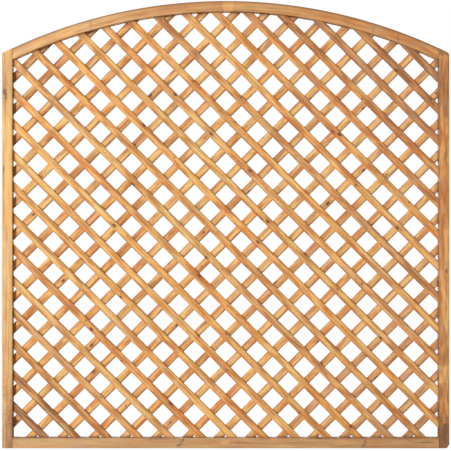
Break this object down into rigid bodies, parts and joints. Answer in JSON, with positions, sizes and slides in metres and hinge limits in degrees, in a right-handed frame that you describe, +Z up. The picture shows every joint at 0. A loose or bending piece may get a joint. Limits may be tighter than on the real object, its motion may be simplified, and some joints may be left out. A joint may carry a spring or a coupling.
{
  "type": "arched trellis fence panel",
  "caption": "Timber fence panel: a grooved frame of square section with a shallow arched top rail, filled with two crossed layers of diagonal slats.",
  "frame": {"origin": "on the ground under the middle of the panel, half way through its depth", "axes": "+X to the right seen from the front, +Y from the front to the back, +Z up"},
  "size_m": [1.8, 0.042, 1.8],
  "materials": {
    "frame_pine": "planed, pressure-treated pine in a clear honey-brown stain",
    "front_slat_pine": "planed pine slats in a clear honey-brown stain",
    "rear_slat_pine": "planed pine slats in a clear honey-brown stain",
    "staple_wire": "dull galvanised wire",
    "screw_steel": "yellow zinc-plated steel"
  },
  "bodies": {
    "root": {"arched_top_rail": "frame_pine", "bottom_rail": "frame_pine", "corner_screws": "screw_steel", "front_slat_lower_01": "front_slat_pine", "front_slat_lower_02": "front_slat_pine", "front_slat_lower_03": "front_slat_pine", "front_slat_lower_04": "front_slat_pine", "front_slat_lower_05": "front_slat_pine", "front_slat_lower_06": "front_slat_pine", "front_slat_lower_07": "front_slat_pine", "front_slat_lower_08": "front_slat_pine", "front_slat_lower_09": "front_slat_pine", "front_slat_lower_10": "front_slat_pine", "front_slat_lower_11": "front_slat_pine", "front_slat_lower_12": "front_slat_pine", "front_slat_lower_13": "front_slat_pine", "front_slat_upper_01": "front_slat_pine", "front_slat_upper_02": "front_slat_pine", "front_slat_upper_03": "front_slat_pine", "front_slat_upper_04": "front_slat_pine", "front_slat_upper_05": "front_slat_pine", "front_slat_upper_06": "front_slat_pine", "front_slat_upper_07": "front_slat_pine", "front_slat_upper_08": "front_slat_pine", "front_slat_upper_09": "front_slat_pine", "front_slat_upper_10": "front_slat_pine", "front_slat_upper_11": "front_slat_pine", "front_slat_upper_12": "front_slat_pine", "lattice_staples": "staple_wire", "left_stile": "frame_pine", "rear_slat_lower_01": "rear_slat_pine", "rear_slat_lower_02": "rear_slat_pine", "rear_slat_lower_03": "rear_slat_pine", "rear_slat_lower_04": "rear_slat_pine", "rear_slat_lower_05": "rear_slat_pine", "rear_slat_lower_06": "rear_slat_pine", "rear_slat_lower_07": "rear_slat_pine", "rear_slat_lower_08": "rear_slat_pine", "rear_slat_lower_09": "rear_slat_pine", "rear_slat_lower_10": "rear_slat_pine", "rear_slat_lower_11": "rear_slat_pine", "rear_slat_lower_12": "rear_slat_pine", "rear_slat_lower_13": "rear_slat_pine", "rear_slat_upper_01": "rear_slat_pine", "rear_slat_upper_02": "rear_slat_pine", "rear_slat_upper_03": "rear_slat_pine", "rear_slat_upper_04": "rear_slat_pine", "rear_slat_upper_05": "rear_slat_pine", "rear_slat_upper_06": "rear_slat_pine", "rear_slat_upper_07": "rear_slat_pine", "rear_slat_upper_08": "rear_slat_pine", "rear_slat_upper_09": "rear_slat_pine", "rear_slat_upper_10": "rear_slat_pine", "rear_slat_upper_11": "rear_slat_pine", "rear_slat_upper_12": "rear_slat_pine", "right_stile": "frame_pine"}
  },
  "joints": []
}
